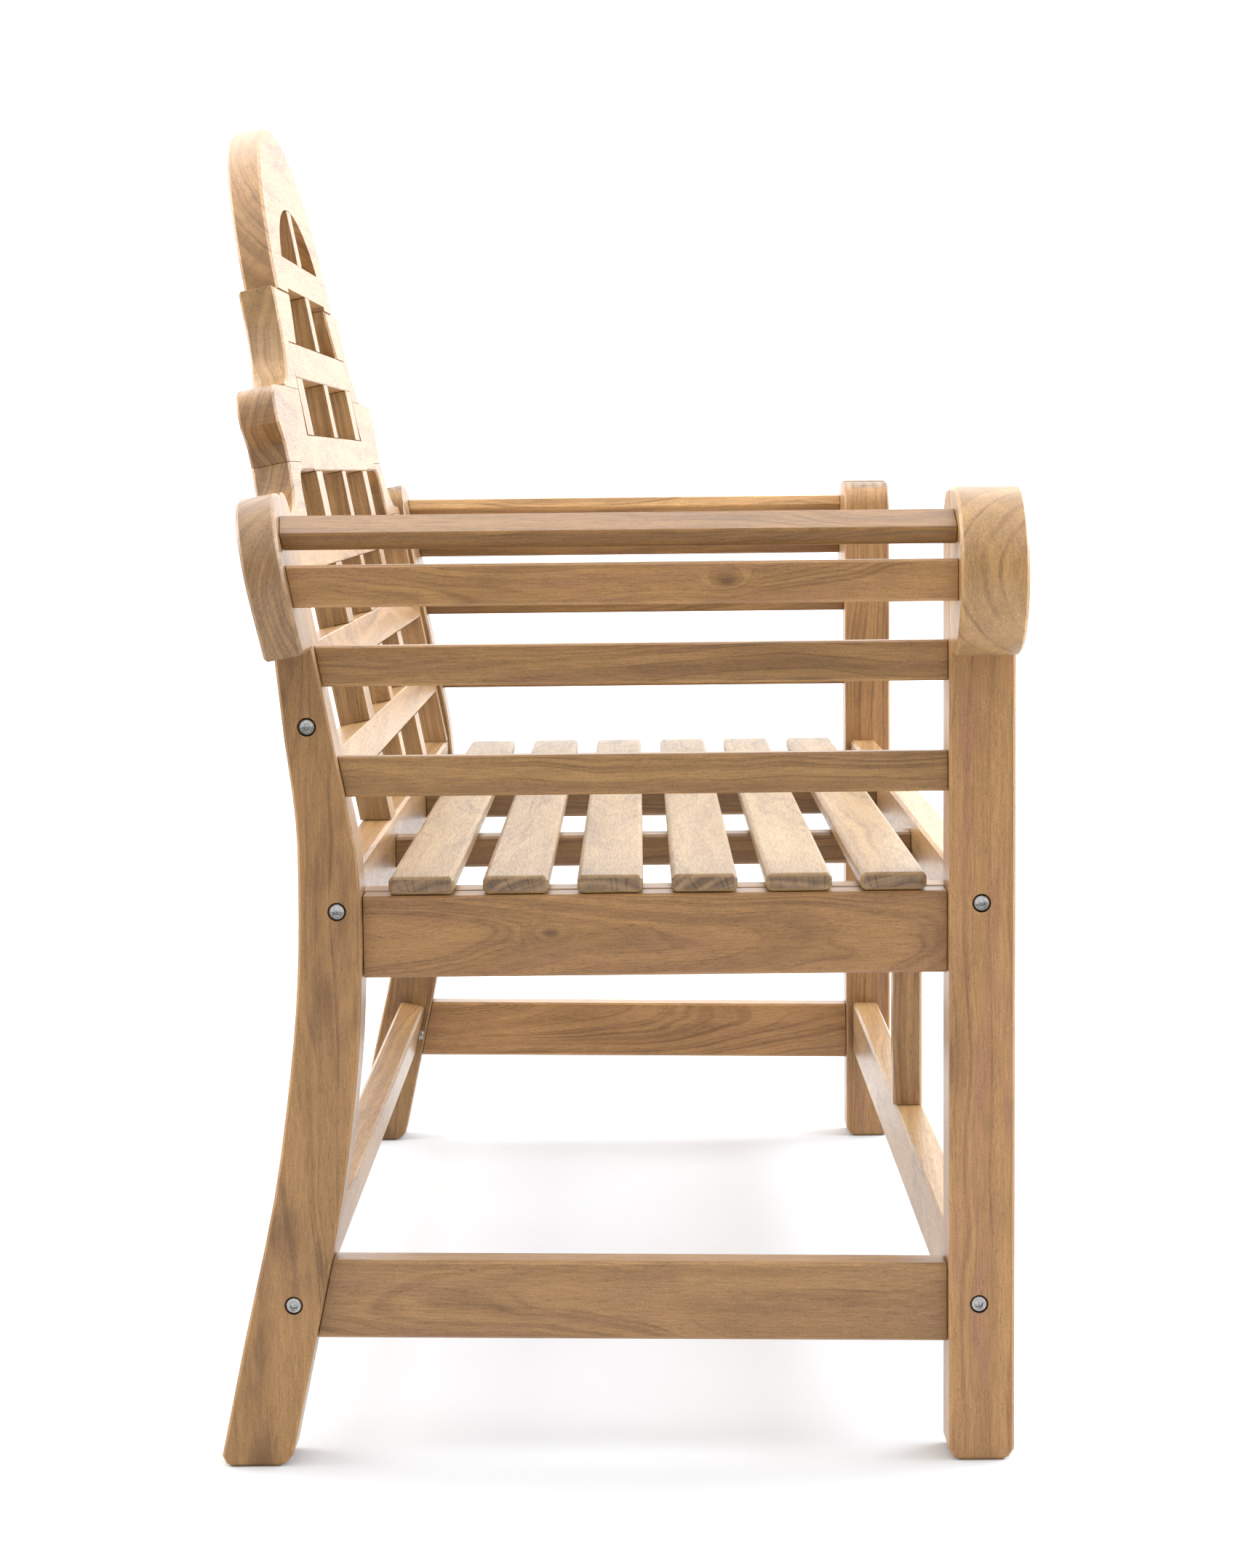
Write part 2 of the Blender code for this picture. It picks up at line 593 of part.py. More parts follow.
def ear(side, word, back):
    """The hooked ear beside the lattice."""
    rail_base, rail_top = RAIL_LEVELS["3"]
    top = SHOULDER_BASE - GAP
    hook = rounded_quarter((EAR_TOP_X, EAR_TIP[1]), (EAR_TIP[0] - EAR_TOP_X, top - EAR_TIP[1]),
                           EAR_FULLNESS, 90.0, 0.0, 7)
    outline = [(SLIVER_X + SLIVER_LEAN, top)] + hook
    outline += [EAR_NECK, EAR_WAIST, (EAR_WAIST[0] + 2 * GAP, EAR_BASE),
                (EAR_STEP_X, EAR_BASE), (EAR_STEP_X, rail_base),
                (EAR_INNER_X, rail_base), (EAR_INNER_X, rail_top + GAP)]
    last = len(hook)
    eased = list(range(1, last + 3)) + [last + 5, last + 7]
    board("ear_" + word, mirrored(outline, side), EAR_BOARD, eased, back)


def lower_ear(side, word, back):
    """The board between the ear, the leg and the fourth rail, hollowed outside and inside."""
    base = RAIL_LEVELS["4"][1] + GAP
    top = EAR_BASE - GAP
    leg = INNER_X - GAP
    start = (EAR_WAIST[0] + 3 * GAP, top)
    half = (leg - EAR_WAIST[0], EAR_WAIST[1] - LOWER_EAR_TOE)
    cove = rounded_quarter((leg, EAR_WAIST[1]), half, LOWER_EAR_FULLNESS, 205.0, 270.0, 10)
    corner = rounded_quarter(CORNER_OPENING, CORNER_HALF, 2.0, 90.0, 0.0, 6)
    inner = EAR_STEP_X + GAP
    outline = [(inner, top), start] + cove
    outline += [(leg, base), (LOWER_EAR_HEEL_X, base)] + list(reversed(corner))
    outline += [(inner, CORNER_OPENING[1] + CORNER_HALF[1])]
    last = 1 + len(cove)
    eased = list(range(1, last)) + list(range(last + 2, len(outline) - 1))
    board("lower_ear_" + word, mirrored(outline, side), EAR_BOARD, eased, back)


def lattice_rail(number, back, hosts):
    """A lattice rail: continuous in front, notched behind for the uprights."""
    low, high = RAIL_LEVELS[number]
    end = {"2": SLIVER_X, "3": EAR_INNER_X}.get(number, STILE_X) - GAP
    uprights = [(0.0, CENTRE_SLAT)]
    if number != "2":
        uprights += [(-POST_X, POST), (POST_X, POST)]
    uprights.sort()
    outline = [(end, 0.0), (end, LATTICE)]
    for middle, wide in reversed(uprights):
        reach = wide / 2 + GAP
        outline += [(middle + reach, LATTICE), (middle + reach, LAP), (middle - reach, LAP),
                    (middle - reach, LATTICE)]
    outline += [(-end, LATTICE), (-end, 0.0)]
    rail = extruded("lattice_rail_" + number, PALE_WOOD, outline, high - low,
                    lambda a, b, d: (a, b, low + d), eased=[len(outline) - 1], ease=LATTICE_EASE,
                    parent=back)
    for side, host in hosts:
        centre = Vector((side * STILE_X, LATTICE / 2, (low + high) / 2))
        half = Vector((LATTICE_TENON, LATTICE / 6, (high - low) * TENON_SHARE / 2))
        room = Vector((GAP, GAP, GAP))
        bm = bmesh.new()
        box(bm, centre - half, centre + half)
        tenon = finish(bm, "tenon_%s_%s" % (number, host.name), WOOD, back)
        combine(rail, tenon, "UNION")
        bm = bmesh.new()
        box(bm, centre - half - room, centre + half + room)
        cut(host, finish(bm, "pocket_%s_%s" % (number, host.name), WOOD, back))


def stick(top):
    """Side outline of a piece that stands on the rear seat rail: (w, s) up to a height s."""
    foot = (REAR_RAIL_Z[1] + GAP - BACK_ORIGIN.z) / cos(RAKE)
    return [(0.0, foot), (LATTICE, foot + LATTICE * tan(RAKE)), (LATTICE, top), (0.0, top)]


def upright(name, x, wide, top, crossings, back):
    """A lattice upright: continuous behind, notched in front for the rails it crosses."""
    outline = stick(top)
    depth = LAP + GAP
    for low, high in sorted(crossings, reverse=True):
        outline += [(0.0, high + GAP), (depth, high + GAP), (depth, low - GAP), (0.0, low - GAP)]
    x0 = x - wide / 2
    return extruded(name, PALE_WOOD, outline, wide, lambda a, b, d: (x0 + d, a, b), parent=back)


def lattice(back):
    """Rails, uprights and the two side stiles."""
    stiles = []
    for side, word in ((-1, "left"), (1, "right")):
        outline = stick(RAIL_LEVELS["4"][1])
        x0 = side * STILE_X
        stiles.append((side, extruded("back_stile_" + word, PALE_WOOD, outline, STILE - GAP,
                                      lambda a, b, d: (x0 + side * d, a, b), parent=back)))
    for number in RAIL_LEVELS:
        lattice_rail(number, back, stiles if number in "456" else ())
    crossed = [RAIL_LEVELS[n] for n in "3456"]
    upright("lattice_post_left", -POST_X, POST, RAIL_LEVELS["2"][0] - GAP, crossed, back)
    upright("lattice_post_right", POST_X, POST, RAIL_LEVELS["2"][0] - GAP, crossed, back)
    half, rise, base = CREST_OPENING
    reach = CENTRE_SLAT / 2
    arch = base + rise * sqrt(1 - (reach / half) ** 2) - GAP
    upright("lattice_centre_slat", 0.0, CENTRE_SLAT, arch, crossed + [RAIL_LEVELS["2"], CREST_BAND], back)
    return dict(zip(("left", "right"), (stile for _, stile in stiles)))


# ---------------------------------------------------------------- bolts
def turned(profile, sides):
    """A bmesh turned about the X axis from (x, radius) points; end points lie on the axis."""
    bm = bmesh.new()
    rings = []
    for x, radius in profile:
        if radius == 0.0:
            rings.append([bm.verts.new((x, 0.0, 0.0))])
            continue
        ring = []
        for i in range(sides):
            angle = 2 * pi * i / sides
            ring.append(bm.verts.new((x, radius * cos(angle), radius * sin(angle))))
        rings.append(ring)
    for one, two in zip(rings, rings[1:]):
        for i in range(sides):
            j = (i + 1) % sides
            corners = [one[i % len(one)], one[j % len(one)], two[j % len(two)], two[i % len(two)]]
            unique = list(dict.fromkeys(corners))
            bm.faces.new(unique)
    return bm


def bolt(name, side, y, z, reach, hosts, frame):
    """A socket-head bolt through a leg, sunk in a counterbore, and the bore it runs in."""
    seat_x = OUTER_X - COUNTERBORE
    length = seat_x - INNER_X + reach
    socket = BOLT_HEAD - SOCKET_DEPTH
    profile = [(socket, 0.0), (socket, SOCKET_R), (BOLT_HEAD, SOCKET_MOUTH_R), (BOLT_HEAD, HEAD_CROWN_R),
               (BOLT_HEAD - HEAD_ROUNDING, BOLT_HEAD_R), (0.0, BOLT_HEAD_R), (0.0, BOLT_SHANK_R),
               (-length, BOLT_SHANK_R), (-length, 0.0)]
    place = placed(side * (seat_x + GAP), y, z, 0.0 if side > 0 else pi, "Z")
    made = finish(turned(profile, BOLT_SIDES), "bolt_" + name, STEEL, frame, place)
    made.data.shade_smooth()
    made.data.set_sharp_from_angle(angle=radians(40))
    mouth = COUNTERBORE + OVERCUT
    tip = -length - BORE_SPARE
    bore = [(mouth, 0.0), (mouth, COUNTERBORE_R), (-GAP, COUNTERBORE_R), (-GAP, BOLT_BORE_R),
            (tip, BOLT_BORE_R), (tip, 0.0)]
    cutter = finish(turned(bore, BOLT_SIDES), "bore_" + name, STEEL, frame, place)
    for host in hosts:
        cut(host, cutter)


# ---------------------------------------------------------------- assembly
def build():
    """Build the whole bench."""
    for old in list(bpy.data.objects):
        bpy.data.objects.remove(old, do_unlink=True)
    frame = bpy.data.objects.new("bench", None)
    bpy.context.scene.collection.objects.link(frame)
    frame.location.y = CENTRE_Y
    back = bpy.data.objects.new("back_frame", None)
    bpy.context.scene.collection.objects.link(back)
    back.parent = frame
    back.matrix_local = Matrix.Translation(BACK_ORIGIN) @ Matrix.Rotation(-RAKE, 4, "X")

    fronts = []
    rears = []
    for side, word in ((-1, "left"), (1, "right")):
        front_post = front_leg(side, word, frame)
        rear_post = rear_leg(side, word, frame)
        flat = placed(0.0, FRONT_Y, SCROLL_Z)
        front_scroll = scroll("front_scroll_" + word, side, flat, SCROLL_RADIUS, FRONT_LEG_Y, frame)
        rear_z = LEG_TOP + REAR_LEG_RISE - REAR_SCROLL_RADIUS * cos(RAKE)
        raked = placed(0.0, leg_front_y(rear_z), rear_z, -atan(LEG_SLOPE))
        rear_scroll = scroll("rear_scroll_" + word, side, raked, REAR_SCROLL_RADIUS, REAR_SCROLL_Y, frame,
                             REAR_SCROLL_TURN)
        posts = (front_post, rear_post)
        arm_slats(side, word, frame, posts, (front_scroll, rear_scroll))
        seat_z = (SEAT_RAIL_Z[0] + SEAT_RAIL_Z[1]) / 2
        end_rail("side_seat_rail_" + word, seat_z, SEAT_RAIL_Z[1] - SEAT_RAIL_Z[0], 0.0, side, frame,
                 posts)
        end_rail("side_stretcher_" + word, SIDE_STRETCHER_Z, STRETCHER_H, SIDE_STRETCHER_RISE, side,
                 frame, posts)
        fronts.append(front_post)
        rears.append(rear_post)

    front_rail = long_rail("front_seat_rail", FRONT_RAIL_Y, sum(FRONT_RAIL_Z) / 2,
                           FRONT_RAIL_Z[1] - FRONT_RAIL_Z[0], 0.0, fronts, frame)
    rear_rail = long_rail("rear_seat_rail", REAR_RAIL_Y, sum(REAR_RAIL_Z) / 2,
                          REAR_RAIL_Z[1] - REAR_RAIL_Z[0], 0.0, rears, frame)
    front_stretcher = long_rail("front_stretcher", *FRONT_STRETCHER, LONG_STRETCHER_H, 0.0, fronts, frame)
    rear_stretcher = long_rail("rear_stretcher", *REAR_STRETCHER, LONG_STRETCHER_H, REAR_STRETCHER_TILT,
                               rears, frame)
    seat(frame, front_rail, rear_rail, front_stretcher)

    crest(back)
    for side, word in ((-1, "left"), (1, "right")):
        shoulder(side, word, back)
        ear(side, word, back)
        lower_ear(side, word, back)
    stiles = lattice(back)

    far_hosts = {"rear_seat": rear_rail, "rear_stretcher": rear_stretcher, "front_seat": front_rail,
                 "front_stretcher": front_stretcher}
    for side, word, front_post, rear_post in ((-1, "left", fronts[0], rears[0]),
                                              (1, "right", fronts[1], rears[1])):
        for name, y, z, reach in BOLTS:
            post = front_post if name.startswith("front") else rear_post
            inner = far_hosts.get(name, stiles[word])
            bolt(name + "_" + word, side, y, z, reach, (post, inner), frame)


build()
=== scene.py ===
"""Looks of the two-seat garden bench: solid wood, steel fastenings, studio light and camera.

World frame: metres, +Z up, +X along the bench, the sitter faces -Y.
"left" pieces are on the -X end and "right" pieces on the +X end.
"""

from copy import copy
from math import cos, pi, radians, sin
from random import Random

import bmesh
import bpy
import numpy as np
from mathutils import Matrix, Vector


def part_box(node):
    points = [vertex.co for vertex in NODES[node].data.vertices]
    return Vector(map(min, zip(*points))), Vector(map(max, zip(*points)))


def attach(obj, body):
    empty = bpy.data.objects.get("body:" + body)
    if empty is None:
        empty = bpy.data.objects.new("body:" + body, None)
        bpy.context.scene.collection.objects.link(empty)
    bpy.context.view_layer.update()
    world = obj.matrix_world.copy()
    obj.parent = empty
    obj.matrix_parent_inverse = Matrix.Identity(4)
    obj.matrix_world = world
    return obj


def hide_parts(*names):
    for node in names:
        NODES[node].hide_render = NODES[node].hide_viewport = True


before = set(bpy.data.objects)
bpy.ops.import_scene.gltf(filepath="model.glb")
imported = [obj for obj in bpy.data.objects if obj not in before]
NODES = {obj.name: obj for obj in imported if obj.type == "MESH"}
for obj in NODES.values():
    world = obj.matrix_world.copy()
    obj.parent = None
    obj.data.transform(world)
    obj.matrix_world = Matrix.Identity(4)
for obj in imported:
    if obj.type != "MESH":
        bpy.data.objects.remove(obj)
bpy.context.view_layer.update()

# ---------------------------------------------------------------- colours (linear)
PALE = (0.400, 0.228, 0.088)            # early wood of a mid-brown piece
DARK = (0.190, 0.096, 0.034)            # late wood
PINK = (0.300, 0.150, 0.080)            # reddish heartwood patches
PORE = (0.110, 0.056, 0.024)
KNOT = (0.085, 0.038, 0.016)
END = (0.190, 0.118, 0.064)             # end grain
STEEL = (0.36, 0.355, 0.35)
FLOOR = (0.60, 0.60, 0.60)

# ---------------------------------------------------------------- features of the wood
# How many there are in a metre, along the grain and in both directions across it.
WAVES = (2.6, 9.0, 9.0)
STREAKS = (2.2, 75.0, 75.0)
MOTTLE = (11.0, 130.0, 130.0)
CLOUDS = (7.0, 24.0, 24.0)
RED_PATCHES = (9.0, 60.0, 60.0)
ELSEWHERE = (3.1, 1.7, 0.4)             # takes the red patches away from the rest of the figure
FIBRES = (40.0, 900.0, 900.0)
SPECKLE = (700.0, 1300.0, 1300.0)
PORE_DASHES = (95.0, 800.0, 800.0)
RAYS = 42.0                             # in one radian round the pith

WAVE_PUSH = 0.050                       # metres that the waves push the rings about
LINE_LEVEL = 0.52                       # level of the bands at which a thin dark line runs
LINE_WIDTH = 0.045
STREAK_SHADE = 0.34                     # how much of the dark wood this brings
MOTTLE_SHADE = 0.12
KNOT_SHAPE = (0.5, 1.0, 0.1)            # a knot is longer along the grain, and runs through the board
KNOT_REACH = 4.5                        # knot sizes over which the rings bend round it
KNOT_BEND = 1.1
KNOT_HALO = 0.35
KNOT_STAIN = 0.55
FAR_AWAY = 900.0                        # where the knot of a clear piece lies
RAY_SHADE = -0.42                       # the rays are darker
FIBRE_SHADES = (1.14, 0.85)             # a pair is what the light and the dark of a feature do
SPECKLE_SHADES = (1.12, 0.88)
END_RING_SHADES = (1.45, 0.75)
END_MOTTLE_SHADES = (1.15, 0.85)
END_GRAIN = (0.70, 0.88)                # cosine to the grain: where end grain starts, and is full
ARRIS = (0.18, 0.45, 0.80, 0.96)        # to the wide face: where an edge starts, is full, fades, ends
EDGE_WEAR_AND_HIGHLIGHT = (1.35, 1.42, 1.50)               # how much lighter the edges are: partly wear, partly a painted highlight
LEAN_SIDEWAYS = 0.4                     # share of the grain's lean that is also across the board
WOOD_ROUGHNESS = (0.36, 0.50)
HOLLOW_ROUGHNESS = 0.18                 # added in the pores
END_ROUGHNESS = 0.14                    # added on end grain

WOOD_IOR = 1.42
COAT_IOR = 1.35
COAT_ROUGHNESS = 0.3
FIBRE_HEIGHT = 0.55                     # shares of the relief
PORE_DEPTH = 0.8
GRAIN_BUMP = (0.35, 0.0004)             # strength, and height in metres

STAINS = (260.0, 260.0, 260.0)          # in a metre, on the steel
TURNING_MARKS = (3000.0, 900.0, 900.0)
STAINED = 0.6                           # how dark a stain is
STEEL_BUMP = (0.15, 0.0001)
BOLT_ROUGHNESS = (0.16, 0.34)
NUT_ROUGHNESS = (0.25, 0.45)

# ---------------------------------------------------------------- sizes
ROUNDING = 0.0006                       # softened corners of the sawn and planed parts
SLAT_ROUNDING = 0.0012                  # the seat slats are rounded more
FLUSH_ROUNDING = 0.0002                 # and the boards of the back, sanded flush, less
FLUSH = ("crest_board", "shoulder", "ear", "lower_ear", "lattice_rail")
WELD = 0.00001
FLAT_WITHIN = radians(0.4)              # faces nearer to flat than this are joined
ROUND_ABOVE = radians(28.0)             # edges sharper than this are rounded
BEARER = (0.0270, 0.0270)               # width and height of the cross bearers
BEARER_EASE = 0.0020
BEARER_TONE = (0.95, 0.93, 0.90)
BEARER_TRUNK = 3.0                      # metres along the trunk
GAP = 0.0005                            # between a bearer and its neighbours

BOLT_RADIUS = 0.0063
BOLT_HEIGHT = 0.0034
BOLT_CHAMFER = 0.0006
SHANK_RADIUS = 0.0029
SHANK_LENGTH = 0.0280
SHANK_GAP = 0.0003
SOCKET_FLAT = 0.0025                    # half the width across the flats of the hexagonal socket
SOCKET_DEPTH = 0.0028
SOCKET_MOUTH = 0.0010                   # how far its countersink reaches past the flats
SOCKET_CONE = 0.0004                    # depth of the countersink and of the cone at the bottom
HEAD_TURN = radians(11.0)               # for each letter of a bolt's name, so sockets vary
NUT_RADIUS = 0.0050
NUT_PROUD = 0.0002
NUT_DEPTH = 0.0040
NUT_CHAMFER = 0.0004
NUT_RECESS = 0.0020                     # radius of the recess in its end
NUT_RECESS_DEPTH = 0.0012
NUT_TAPER = 0.0001
NUT_INSET = 0.0060                      # from the bolt's tip to the nut's middle
STILE_DEPTH = 0.0262                    # square to the lattice back
TURN = 48                               # points round a turned piece
SHARP = radians(35.0)

# ---------------------------------------------------------------- floor, light and camera values
FLOOR_HALF = 3.8
FLOOR_ROUGHNESS = 0.9
FLOOR_GLOSS = 0.1
FROM_FAR_END = (-0.6, 0.95, 0.55, 1.9)  # world light by direction X: from, to, and strength at each
FROM_ABOVE = (0.25, 0.95, 0.0, 1.6)     # and what direction Z adds
BACKDROP = 1.1                          # least strength that the camera sees
LAMPS = (                               # name, place, target, size, watts and colour
    ("key", (0.6, -3.6, 2.2), (0.0, 0.0, 0.6), (4.0, 2.4), 250.0, (0.88, 0.97, 1.12)),
    ("back_fill", (0.3, 3.4, 2.2), (0.0, 0.0, 0.5), (3.0, 2.0), 110.0, (1.0, 1.0, 1.0)),
)

CAMERA_PLACE = (-2.778, -0.0409, 0.744)
CAMERA_RIGHT = Vector((0.0047, -0.9999, -0.0110))
CAMERA_DOWN = Vector((-0.1037, 0.0105, -0.9946))
CAMERA_LENS = 69.04                     # millimetres
SENSOR = 36.0                           # the longer side, which is upright
CLIP = (0.05, 200.0)


# ---------------------------------------------------------------- node helpers
MIX_INPUTS = (0, 6, 7)                  # a mix node's sockets for colours
MIX_OUTPUT = 2


class Tree:
    """Short calls for building a node tree."""

    def __init__(self, tree):
        self.tree = tree

    def node(self, kind, **settings):
        """A new node with some of its properties set."""
        made = self.tree.nodes.new(kind)
        for key, value in settings.items():
            setattr(made, key, value)
        return made

    def put(self, value, socket):
        """Link a socket, or set a plain value."""
        if isinstance(value, bpy.types.NodeSocket):
            self.tree.links.new(value, socket)
        elif isinstance(value, (tuple, list)) and len(value) == 3 and socket.type == "RGBA":
            socket.default_value = (*value, 1.0)
        else:
            socket.default_value = value

    def math(self, operation, *values):
        """Arithmetic on numbers."""
        made = self.node("ShaderNodeMath", operation=operation)
        for value, socket in zip(values, made.inputs):
            self.put(value, socket)
        return made.outputs[0]

    def vector(self, operation, *values):
        """Arithmetic on vectors."""
        made = self.node("ShaderNodeVectorMath", operation=operation)
        for value, socket in zip(values, made.inputs):
            self.put(value, socket)
        return made.outputs["Value" if operation in ("LENGTH", "DOT_PRODUCT") else "Vector"]

    def noise(self, place, detail=2.0, roughness=0.5, dimensions="3D"):
        """Noise in space, or along one number when it has dimensions 1D."""
        made = self.node("ShaderNodeTexNoise", noise_dimensions=dimensions)
        self.put(place, made.inputs["W" if dimensions == "1D" else "Vector"])
        made.inputs["Scale"].default_value = 1.0
        made.inputs["Detail"].default_value = detail
        made.inputs["Roughness"].default_value = roughness
        return made.outputs

    def ramp(self, value, low, high, start=0.0, end=1.0):
        """Smooth step of value from low to high."""
        made = self.node("ShaderNodeMapRange", interpolation_type="SMOOTHSTEP")
        self.put(value, made.inputs["Value"])
        self.put(low, made.inputs["From Min"])
        self.put(high, made.inputs["From Max"])
        self.put(start, made.inputs["To Min"])
        self.put(end, made.inputs["To Max"])
        return made.outputs["Result"]

    def mix(self, factor, a, b, blend="MIX"):
        """Mix two colours."""
        made = self.node("ShaderNodeMix", data_type="RGBA", blend_type=blend)
        for value, index in zip((factor, a, b), MIX_INPUTS):
            self.put(value, made.inputs[index])
        return made.outputs[MIX_OUTPUT]

    def scaled(self, vector, scale):
        """A vector multiplied by another."""
        return self.vector("MULTIPLY", vector, scale)

    def with_share(self, base, extra, share):
        """A number plus a share of another one."""
        return self.math("ADD", base, self.math("MULTIPLY", extra, share))

    def shader(self, colour, roughness):
        """The material's one surface shader."""
        made = self.node("ShaderNodeBsdfPrincipled")
        self.put(colour, made.inputs["Base Color"])
        self.put(roughness, made.inputs["Roughness"])
        self.put(made.outputs[0], self.node("ShaderNodeOutputMaterial").inputs["Surface"])
        return made

    def bump(self, shader, height, strength, distance):
        """Relief on a shader."""
        made = self.node("ShaderNodeBump")
        made.inputs["Strength"].default_value = strength
        made.inputs["Distance"].default_value = distance
        self.put(height, made.inputs["Height"])
        self.put(made.outputs[0], shader.inputs["Normal"])

    def grey(self, value):
        """A number as a grey colour."""
        made = self.node("ShaderNodeCombineColor")
        for socket in made.inputs:
            self.put(value, socket)
        return made.outputs[0]


def empty_material(name):
    """A material with an empty node tree."""
    made = bpy.data.materials.new(name)
    made.use_nodes = True
    made.node_tree.nodes.clear()
    return made


# ---------------------------------------------------------------- wood
def wood_group():
    """Shared figure of the wood. Place is in metres, x along the grain, the pith on y = z = 0."""
    group = bpy.data.node_groups.new("wood_figure", "ShaderNodeTree")
    sockets = (
        ("INPUT", "Vector", ("Place", "Knot")),
        ("INPUT", "Color", ("Tone",)),
        ("INPUT", "Float", ("Ring spacing", "Ring strength", "Lines", "Blotch", "Reddish", "Pores",
                            "Knot size", "End", "Edge")),
        ("OUTPUT", "Color", ("Color",)),
        ("OUTPUT", "Float", ("Roughness", "Height")),
    )
    for direction, kind, names in sockets:
        for name in names:
            group.interface.new_socket(name, in_out=direction, socket_type="NodeSocket" + kind)
    t = Tree(group)
    given = t.node("NodeGroupInput").outputs
    place = given["Place"]

    # growth rings: distance from the pith, pushed about by slow waves and bent round a knot
    waves = t.noise(t.scaled(place, WAVES), detail=3.0, roughness=0.45)["Color"]
    push = t.scaled(t.vector("SUBTRACT", waves, (0.5, 0.5, 0.5)), (0.0, WAVE_PUSH, WAVE_PUSH))
    cross = t.scaled(t.vector("ADD", place, push), (0.0, 1.0, 1.0))
    distance = t.vector("LENGTH", cross)
    from_knot = t.scaled(t.vector("SUBTRACT", place, given["Knot"]), KNOT_SHAPE)
    near = t.math("DIVIDE", t.vector("LENGTH", from_knot), given["Knot size"])
    ring = t.math("DIVIDE", distance, given["Ring spacing"])
    ring = t.with_share(ring, t.ramp(near, 0.0, KNOT_REACH, 1.0, 0.0), KNOT_BEND)
    bands = t.noise(ring, roughness=0.55, dimensions="1D")["Fac"]
    crossing = t.math("ABSOLUTE", t.math("SUBTRACT", bands, LINE_LEVEL))
    lines = t.ramp(crossing, 0.0, LINE_WIDTH, 1.0, 0.0)

    # streaks and fibres along the grain; a noise is mostly 0.3 to 0.7, which the ramps cut into
    streaks = t.noise(t.scaled(place, STREAKS), detail=3.0, roughness=0.6)["Fac"]
    fibres = t.noise(t.scaled(place, FIBRES), detail=2.0, roughness=0.7)["Fac"]
    mottle = t.noise(t.scaled(place, MOTTLE), detail=3.0, roughness=0.6)["Fac"]
    clouds = t.noise(t.scaled(place, CLOUDS), detail=3.0, roughness=0.55)["Fac"]
    speckle = t.noise(t.scaled(place, SPECKLE), detail=1.0)["Fac"]
    elsewhere = t.vector("ADD", place, ELSEWHERE)
    red = t.noise(t.scaled(elsewhere, RED_PATCHES), detail=2.0)["Fac"]

    figure = t.math("MULTIPLY", t.ramp(bands, 0.34, 0.74), given["Ring strength"])
    patchy = t.ramp(clouds, 0.35, 0.60, 0.25, 1.0)
    figure = t.with_share(figure, t.math("MULTIPLY", lines, patchy), given["Lines"])
    figure = t.math("ADD", figure, t.ramp(near, 0.6, 3.4, KNOT_HALO, 0.0))
    figure = t.with_share(figure, t.ramp(streaks, 0.30, 0.85), STREAK_SHADE)
    figure = t.with_share(figure, t.ramp(mottle, 0.30, 0.80), MOTTLE_SHADE)
    figure = t.with_share(figure, t.ramp(clouds, 0.50, 0.72), given["Blotch"])
    colour = t.mix(t.math("MINIMUM", figure, 1.0), PALE, DARK)
    reddening = t.math("MULTIPLY", t.ramp(red, 0.50, 0.72), given["Reddish"])
    colour = t.mix(reddening, colour, PINK)
    colour = t.mix(t.ramp(near, 0.45, 1.25, KNOT_STAIN, 0.0), colour, KNOT)
    colour = t.mix(1.0, colour, given["Tone"], "MULTIPLY")

    # fine fibre contrast, then pores cut along the grain
    shade = t.ramp(fibres, 0.30, 0.72, *FIBRE_SHADES)
    shade = t.math("MULTIPLY", shade, t.ramp(speckle, 0.3, 0.7, *SPECKLE_SHADES))
    colour = t.mix(1.0, colour, t.grey(shade), "MULTIPLY")
    dashes = t.node("ShaderNodeTexVoronoi", feature="F1")
    t.put(t.scaled(place, PORE_DASHES), dashes.inputs["Vector"])
    dashes.inputs["Scale"].default_value = 1.0
    hollow = t.ramp(dashes.outputs["Distance"], 0.16, 0.30, 1.0, 0.0)
    hollow = t.math("MULTIPLY", hollow, t.ramp(mottle, 0.42, 0.58))
    colour = t.mix(t.math("MULTIPLY", hollow, given["Pores"]), colour, PORE)

    # end grain: darker, with rings and fine rays
    parts = t.node("ShaderNodeSeparateXYZ")
    t.put(cross, parts.inputs[0])
    angle = t.math("ARCTAN2", parts.outputs["Z"], parts.outputs["Y"])
    rays = t.noise(t.math("MULTIPLY", angle, RAYS), detail=3.0, dimensions="1D")["Fac"]
    rays = t.ramp(rays, 0.52, 0.72)
    end_shade = t.with_share(t.ramp(bands, 0.35, 0.65, *END_RING_SHADES), rays, RAY_SHADE)
    end_shade = t.math("MULTIPLY", end_shade, t.ramp(mottle, 0.3, 0.7, *END_MOTTLE_SHADES))
    end_colour = t.mix(1.0, END, t.grey(end_shade), "MULTIPLY")
    colour = t.mix(given["End"], colour, end_colour)

    # the edges are a little lighter: partly wear, partly a painted highlight
    edge = t.math("MULTIPLY", given["Edge"], t.ramp(streaks, 0.25, 0.65, 1.0, 0.55))
    colour = t.mix(edge, colour, t.mix(1.0, colour, EDGE_WEAR_AND_HIGHLIGHT, "MULTIPLY"))

    rough = t.ramp(fibres, 0.3, 0.7, *WOOD_ROUGHNESS)
    rough = t.with_share(rough, hollow, HOLLOW_ROUGHNESS)
    rough = t.with_share(rough, given["End"], END_ROUGHNESS)
    height = t.with_share(t.math("MULTIPLY", fibres, FIBRE_HEIGHT), hollow, -PORE_DEPTH)
    result = t.node("NodeGroupOutput")
    t.put(colour, result.inputs["Color"])
    t.put(rough, result.inputs["Roughness"])
    t.put(height, result.inputs["Height"])
    return group


WOOD = wood_group()


